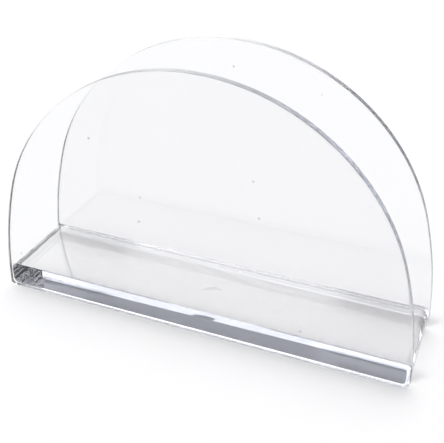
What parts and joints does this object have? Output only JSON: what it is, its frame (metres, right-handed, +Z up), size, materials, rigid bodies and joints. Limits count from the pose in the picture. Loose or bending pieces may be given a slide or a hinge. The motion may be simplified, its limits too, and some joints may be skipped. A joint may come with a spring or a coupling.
{
  "type": "napkin holder",
  "caption": "Clear napkin holder: upright half-moon panels bonded along both long sides of a solid rectangular base block, open at the top and at both ends.",
  "frame": {"origin": "centre of the rectangular footprint, on the surface that the holder stands on", "axes": "+Z up, +X along the length of the panels, +Y from the front panel to the rear panel"},
  "size_m": [0.15, 0.0372, 0.094],
  "materials": {
    "clear_panel": "polished, colourless and transparent",
    "clear_block": "polished, colourless and transparent, in a thick solid block",
    "bond_adhesive": "water-clear cured adhesive with a few small bubbles"
  },
  "bodies": {
    "root": {"front_panel": "clear_panel", "rear_panel": "clear_panel", "base_block": "clear_block", "front_bond_film": "bond_adhesive", "rear_bond_film": "bond_adhesive"}
  },
  "joints": []
}
